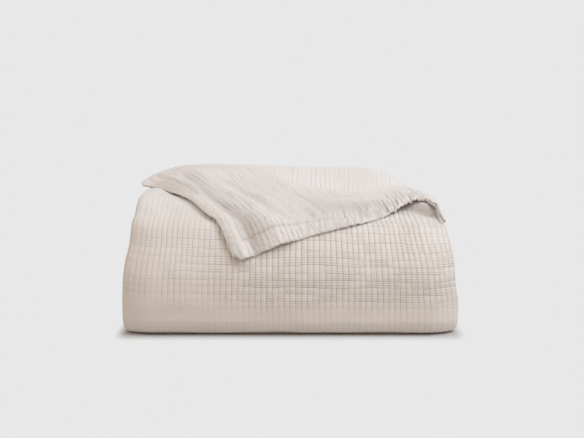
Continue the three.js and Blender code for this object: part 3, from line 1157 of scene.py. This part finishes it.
def groove_line(finish, distance, pitch, half_width):
    """1 along a groove that comes every pitch, falling to 0 within its half width."""
    off = distance.sum("PINGPONG", distance, pitch / 2)
    return finish.ranged(off, half_width, 0.0)


def finished_cloth(finish, colour, height):
    """The cloth's material, from its colour and the height of what is too fine to model."""
    bump = finish.add("ShaderNodeBump", inputs={"Strength": 1.0, "Distance": 1.0, "Height": height})
    surface = finish.add("ShaderNodeBsdfPrincipled", inputs={
        "Base Color": colour,
        "Roughness": 0.92,
        "IOR": 1.42,
        "Specular IOR Level": 0.25,
        "Sheen Weight": 0.12,
        "Sheen Roughness": 0.6,
        "Normal": bump,
    })
    finish.add("ShaderNodeOutputMaterial", inputs={"Surface": surface})
    return finish.owner


def threads(finish, across, along):
    """The height of the plain weave's threads."""
    turn = 2 * math.pi / THREAD_PITCH
    warp = (across * turn).sum("SINE", across * turn)
    weft = (along * turn).sum("SINE", along * turn)
    return (warp * weft) * THREAD_HEIGHT


def cloth_face():
    """The gridded face: soft ribs between grooves, crossed by short runs of fine lines."""
    finish = Finish(bpy.data.materials.new("coverlet_face"))
    across, along = finish.cloth_place()
    rib_show = finish.mark("rib_show")
    row_show = finish.mark("row_show")
    modelled = finish.mark("modelled")

    rib = finish.floor(across / (RIB_PITCH * MM))
    row = finish.floor(along / (ROW_PITCH * MM))
    run = finish.floor(rib / RIBS_IN_RUN + finish.chance(row, 0.5) * 7)
    ribs = groove_line(finish, across, RIB_PITCH * MM, GROOVE_HALF_WIDTH * MM) * rib_show
    rows = groove_line(finish, along, ROW_PITCH * MM, GROOVE_HALF_WIDTH * MM) * row_show
    hollow = ribs.sum("MAXIMUM", ribs, rows * 0.6)

    crossed = finish.ranged(finish.chance(run, row), 0.4, 0.75, 0.42, 1.0)
    fine = groove_line(finish, along, FINE_PITCH, FINE_HALF_WIDTH) * crossed
    split = groove_line(finish, across + SPLIT_ASIDE, RIB_PITCH * MM, SPLIT_HALF_WIDTH)
    split = split * finish.ranged(finish.chance(rib, run), 0.75, 0.85)
    thin = fine.sum("MAXIMUM", fine, split) * finish.ranged(rib_show, 0.0, 0.65)

    broad = finish.noise(across * 14, along * 16)
    warmth = finish.ranged(finish.chance(rib, row) * 0.18 + broad * 0.82, 0.25, 0.75)
    colour = finish.mixed(warmth, CLOTH_LIGHT, CLOTH_WARM)
    # Painted warm shade: the low front warmed towards its tone
    colour = finish.mixed(finish.mark("low") * LOW_FRONT_PAINTED_SHADE, colour, LOW_FRONT_PAINTED_SHADE_TONE)
    # Painted shade: the grooves and the fine lines darkened towards the shade tone
    colour = finish.mixed(hollow * GROOVE_PAINTED_SHADE + thin * FINE_LINE_PAINTED_SHADE, colour, PAINTED_SHADE_TONE)
    # Painted shade in the hollows that the shade mark lists
    colour = finish.mixed(finish.mark("shade") * SHADE_DARK, colour, PAINTED_SHADE_TONE)

    wrinkle = finish.noise(across * 140, along * 520, detail=3.0, roughness=0.6)
    pulled = finish.noise(across * 600, along * 110, layer=3.0, roughness=0.6)
    height = (
        (wrinkle + pulled) * WRINKLE_HEIGHT
        - thin * FINE_DEPTH
        - hollow * (1 - modelled) * (RIB_GROOVE_DEPTH * MM)
        + threads(finish, across, along)
    )
    return finished_cloth(finish, colour, height)


def cloth_back():
    """The reverse side: long crinkled ribs only, a little lighter."""
    finish = Finish(bpy.data.materials.new("coverlet_back"))
    across, along = finish.cloth_place()

    wander = finish.noise(across * 30, along * 16, detail=1.0) * 0.006
    thin_wander = finish.noise(across * 90, along * 30, layer=5.0, detail=1.0) * 0.003
    wide_ribs = groove_line(finish, across + wander, WIDE_PITCH, WIDE_HALF_WIDTH)
    thin_ribs = groove_line(finish, across + thin_wander, THIN_PITCH, THIN_HALF_WIDTH)
    patches = finish.noise(across * 60, along * 14, layer=9.0)
    wide_share = finish.ranged(patches, 0.36, 0.62)
    hollow = wide_ribs * wide_share
    thin = thin_ribs * (1 - wide_share)

    broad = finish.noise(across * 14, along * 9)
    colour = finish.mixed(finish.ranged(broad, 0.42, 0.9), CLOTH_LIGHT, CLOTH_WARM)
    # Painted shade: the wide and thin ribs' grooves darkened towards the shade tone
    colour = finish.mixed(hollow * WIDE_RIB_PAINTED_SHADE + thin * THIN_RIB_PAINTED_SHADE, colour, PAINTED_SHADE_TONE)
    colour = finish.mixed(finish.mark("hemmed") * HEM_PALE, colour, CLOTH_HEM)
    # The seam darkened for its thread, and as painted shade for the shade in its crevice
    colour = finish.mixed(finish.mark("seam_thread_and_shade") * SEAM_THREAD_AND_PAINTED_SHADE, colour, PAINTED_SHADE_TONE)
    # Painted shade in the corner's hollows and gathers
    colour = finish.mixed(finish.mark("shade") * TROUGH_PAINTED_SHADE, colour, PAINTED_SHADE_TONE)

    crushed = finish.noise(across * 420, along * 90, layer=2.0, detail=3.0, roughness=0.6)
    crumpled = finish.noise(across * 170, along * 190, layer=4.0, roughness=0.6)
    crumpled = crumpled * finish.ranged(finish.mark("rib_show"), 0.4, 1.0, 0.2, 1.0)
    height = (
        crushed * CRUSHED_HEIGHT
        + crumpled * CRUMPLED_HEIGHT
        - hollow * WIDE_DEPTH
        - thin * THIN_DEPTH
        + threads(finish, across, along)
    )
    return finished_cloth(finish, colour, height)


def seen_rays(finish):
    """1 for the rays that see a plain background: camera, glossy and transmission."""
    path = finish.add("ShaderNodeLightPath").socket.node.outputs
    seen = Reading(finish, path["Is Camera Ray"])
    for kind in ("Is Glossy Ray", "Is Transmission Ray"):
        seen = seen.sum("MAXIMUM", seen, Reading(finish, path[kind]))
    return seen


def pale_floor():
    """A wide floor, plain grey away from the bundle, lit and shaded close around it."""
    floor = placed("floor", flat_grid("floor", 1, 1, FLOOR_HALF_SIZE))
    finish = Finish(bpy.data.materials.new("pale_floor"))
    x, y, _ = finish.split(finish.add("ShaderNodeTexCoord", output=3))
    past_side = x.sum("MAXIMUM", x.sum("ABSOLUTE", x) - COVERED_HALF_WIDTH, 0.0)
    past_front = y.sum("MAXIMUM", y.sum("ABSOLUTE", y) - COVERED_HALF_DEPTH, 0.0)
    past = finish.joined(past_side * SOONER_AT_SIDES, past_front, 0.0)
    away = finish.add("ShaderNodeVectorMath", {"operation": "LENGTH"}, [past], output=1)
    plain = finish.ranged(away, LIT_TO, PLAIN_FROM) * seen_rays(finish)
    # Painted shade: the lit floor's tone is darker than the plain grey, so the ring round the bundle
    # is darker as well as truly shadowed
    lit = finish.add("ShaderNodeBsdfDiffuse", inputs={"Color": tone(206, 205, 204)})
    even = finish.add("ShaderNodeEmission", inputs={"Color": PLAIN_GREY, "Strength": 1.0})
    surface = finish.add("ShaderNodeMixShader", inputs=[plain, lit, even])
    finish.add("ShaderNodeOutputMaterial", inputs={"Surface": surface})
    floor.data.materials.append(finish.owner)


def studio_world():
    """Soft light from all round, and the same plain grey behind the floor."""
    world = bpy.data.worlds.new("studio")
    bpy.context.scene.world = world
    finish = Finish(world)
    soft = finish.add("ShaderNodeBackground", inputs={"Color": tone(255, 238, 222), "Strength": 0.66})
    even = finish.add("ShaderNodeBackground", inputs={"Color": PLAIN_GREY, "Strength": 1.0})
    surface = finish.add("ShaderNodeMixShader", inputs=[seen_rays(finish), soft, even])
    finish.add("ShaderNodeOutputWorld", inputs={"Surface": surface})


def soft_lamp(name, place, size, power, light):
    """A square soft lamp that faces the middle of the bundle."""
    data = bpy.data.lights.new(name, "AREA")
    data.shape = "SQUARE"
    data.size = size
    data.energy = power
    data.color = light
    lamp = placed(name, data)
    lamp.location = place
    towards = Vector((0, 0, 0.1)) - Vector(place)
    lamp.rotation_euler = towards.to_track_quat("-Z", "Y").to_euler()


def studio_camera():
    """The camera, a little above the bundle and looking slightly down at it."""
    degrees_down = 6.4265
    data = bpy.data.cameras.new("camera")
    data.sensor_width = 36
    data.lens = 64.09
    camera = placed("camera", data)
    camera.location = (0.0027, -1.5785, 0.3211)
    camera.rotation_euler = (math.radians(90 - degrees_down), 0, 0)
    bpy.context.scene.camera = camera


studio_camera()
bpy.context.scene.view_settings.view_transform = "Standard"
studio_world()
pale_floor()
soft_lamp("key_lamp", place=(1.1, -0.7, 1.5), size=1.0, power=13.2, light=(0.79, 0.88, 1.0))
soft_lamp("overhead_lamp", place=(0.3, -0.2, 1.7), size=1.2, power=5, light=(0.7, 0.9, 1.1))

strip = folded_strip(cloth_face())
corner = turned_corner(cloth_back())
for piece in (strip, corner):
    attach(piece, "root")
    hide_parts("coverlet")
